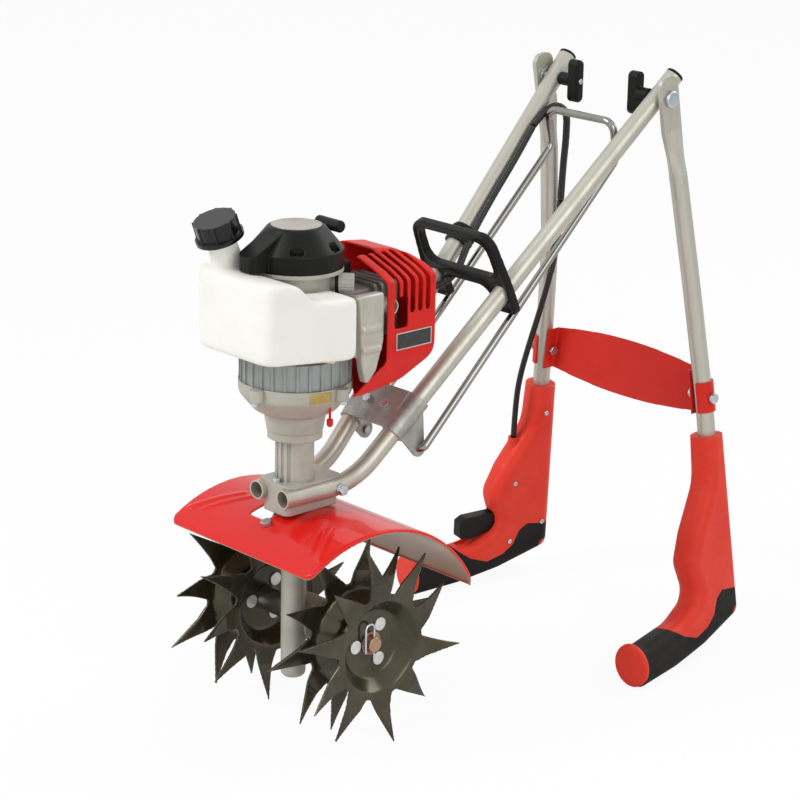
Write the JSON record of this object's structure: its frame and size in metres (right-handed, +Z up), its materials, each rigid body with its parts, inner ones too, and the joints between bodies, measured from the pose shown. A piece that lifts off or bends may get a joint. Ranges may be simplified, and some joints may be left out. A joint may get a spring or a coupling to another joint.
{
  "type": "mini tiller",
  "caption": "Small petrol tiller with toothed tine stars under a fender, engine on an upright column, wire stand and folding handles with pistol grips.",
  "frame": {"origin": "middle of the part's footprint, on the floor it stands on", "axes": "+Z up, -Y to the front where the fuel tank is, +X to the operator's left"},
  "size_m": [0.3794, 0.5938, 0.6201],
  "materials": {
    "red_paint": "glossy red paint",
    "red_plastic": "moulded red plastic",
    "grip_red": "moulded orange-red plastic",
    "tube_silver": "satin silver tube",
    "cast_grey": "bead-blasted casting",
    "case_grey": "dark grey casting",
    "pad_cream": "cream plastic",
    "tine_steel": "dark heat-treated steel",
    "tank_white": "translucent white plastic",
    "black_plastic": "black plastic",
    "rubber": "black rubber",
    "zinc": "bright zinc plating",
    "chrome_wire": "bright wire",
    "steel": "machined steel",
    "muffler_steel": "aluminised sheet",
    "plug_grey": "light grey plastic",
    "brass_gear": "bronze worm wheel",
    "cable_black": "black cable"
  },
  "bodies": {
    "frame": {"gear_housing": "cast_grey", "drive_column": "cast_grey", "clutch_bell": "cast_grey", "crankcase": "case_grey", "cylinder": "cast_grey", "cylinder_cover": "red_plastic", "spark_plug": "steel", "plug_boot": "rubber", "muffler": "muffler_steel", "recoil_cover": "black_plastic", "fuel_tank": "tank_white", "tank_pads": "pad_cream", "carburettor": "cast_grey", "air_cleaner": "black_plastic", "oil_seal": "rubber", "lower_handle_left": "tube_silver", "lower_handle_right": "tube_silver", "tube_plugs": "black_plastic", "fold_bolts": "zinc", "carry_handle": "black_plastic", "stand_bracket": "zinc", "fender": "red_paint", "clamp_bolt": "zinc", "frame_screws": "zinc", "throttle_conduit": "cable_black", "cable_clip": "black_plastic", "cable_bend": "cable_black"},
    "tines": {"tine_axle": "steel", "worm_wheel": "brass_gear", "tine_hubs": "steel", "tine_rivets": "zinc", "axle_pins": "zinc", "tine_outer_left": "tine_steel", "tine_inner_left": "tine_steel", "tine_outer_right": "tine_steel", "tine_inner_right": "tine_steel"},
    "worm": {"worm_shaft": "steel", "clutch_drum": "steel"},
    "crank": {"crankshaft": "steel", "flywheel_fan": "steel"},
    "upper_handles": {"upper_handle_left": "tube_silver", "upper_handle_right": "tube_silver", "handle_brace": "red_paint", "brace_saddles": "red_plastic", "brace_bolts": "zinc", "grip_left": "grip_red", "grip_right": "grip_red", "grip_rubbers": "rubber", "grip_caps": "grip_red", "cable_upper": "cable_black"},
    "knob_left": {"fold_knob_left": "black_plastic"},
    "knob_right": {"fold_knob_right": "black_plastic"},
    "stand": {"kickstand": "chrome_wire"},
    "trigger": {"throttle_trigger": "black_plastic"},
    "switch": {"stop_switch": "black_plastic"},
    "tank_cap": {"fuel_cap": "black_plastic"},
    "oil_cap": {"oil_plug": "plug_grey"},
    "pull": {"starter_grip": "black_plastic"},
    "reel": {"recoil_reel": "black_plastic"},
    "choke": {"choke_lever": "black_plastic"}
  },
  "joints": [
    {"name": "tine_spin", "type": "hinge", "parent": "frame", "child": "tines", "pos_m": [0, -0.18087, 0.102], "axis": [1, 0, 0], "continuous": true},
    {"name": "worm_spin", "type": "hinge", "parent": "frame", "child": "worm", "pos_m": [0, -0.20587, 0.2], "axis": [0, 0, 1], "continuous": true},
    {"name": "crank_spin", "type": "hinge", "parent": "frame", "child": "crank", "pos_m": [0, -0.20587, 0.4], "axis": [0, 0, 1], "continuous": true},
    {"name": "handle_fold", "type": "hinge", "parent": "frame", "child": "upper_handles", "pos_m": [0, 0.21713, 0.592], "axis": [1, 0, 0], "range_deg": [0, 122], "deforming": ["cable_bend"]},
    {"name": "knob_left_turn", "type": "hinge", "parent": "frame", "child": "knob_left", "pos_m": [0.055, 0.21713, 0.592], "axis": [1, 0, 0], "range_deg": [0, 540]},
    {"name": "knob_right_turn", "type": "hinge", "parent": "frame", "child": "knob_right", "pos_m": [-0.055, 0.21713, 0.592], "axis": [1, 0, 0], "range_deg": [0, 540]},
    {"name": "stand_swing", "type": "hinge", "parent": "frame", "child": "stand", "pos_m": [0, -0.07787, 0.268], "axis": [1, 0, 0], "range_deg": [-30, 0]},
    {"name": "trigger_pull", "type": "hinge", "parent": "upper_handles", "child": "trigger", "pos_m": [-0.14639, 0.23126, 0.07396], "axis": [0.9828, -0.1413, -0.1189], "range_deg": [0, 8], "stiffness_Nm_per_rad": 0.6, "springref_deg": -17.19},
    {"name": "switch_slide", "type": "slide", "parent": "upper_handles", "child": "switch", "axis": [0.109, -0.076, 0.9911], "range_m": [0, 0.006]},
    {"name": "fuel_cap_turn", "type": "hinge", "parent": "frame", "child": "tank_cap", "pos_m": [-0.036, -0.26087, 0.474], "axis": [0, -0.342, 0.9397], "range_deg": [0, 360]},
    {"name": "oil_plug_turn", "type": "hinge", "parent": "frame", "child": "oil_cap", "pos_m": [0, -0.20587, 0.4525], "axis": [0.7314, 0.682, 0], "range_deg": [0, 360]},
    {"name": "starter_pull", "type": "slide", "parent": "frame", "child": "pull", "axis": [0, 0.7431, 0.6691], "range_m": [0, 0.45], "stiffness_N_per_m": 14, "springref_m": -0.2},
    {"name": "reel_turn", "type": "hinge", "parent": "frame", "child": "reel", "pos_m": [0, -0.20587, 0.477], "axis": [0, 0, 1], "range_deg": [0, 1100]},
    {"name": "choke_turn", "type": "hinge", "parent": "frame", "child": "choke", "pos_m": [-0.08, -0.14487, 0.43], "axis": [1, 0, 0], "range_deg": [0, 60]}
  ],
  "couplings": [
    {"joint": "worm_spin", "follows": "tine_spin", "ratio": 24},
    {"joint": "reel_turn", "follows": "starter_pull", "rad_per_m": 41.6}
  ]
}
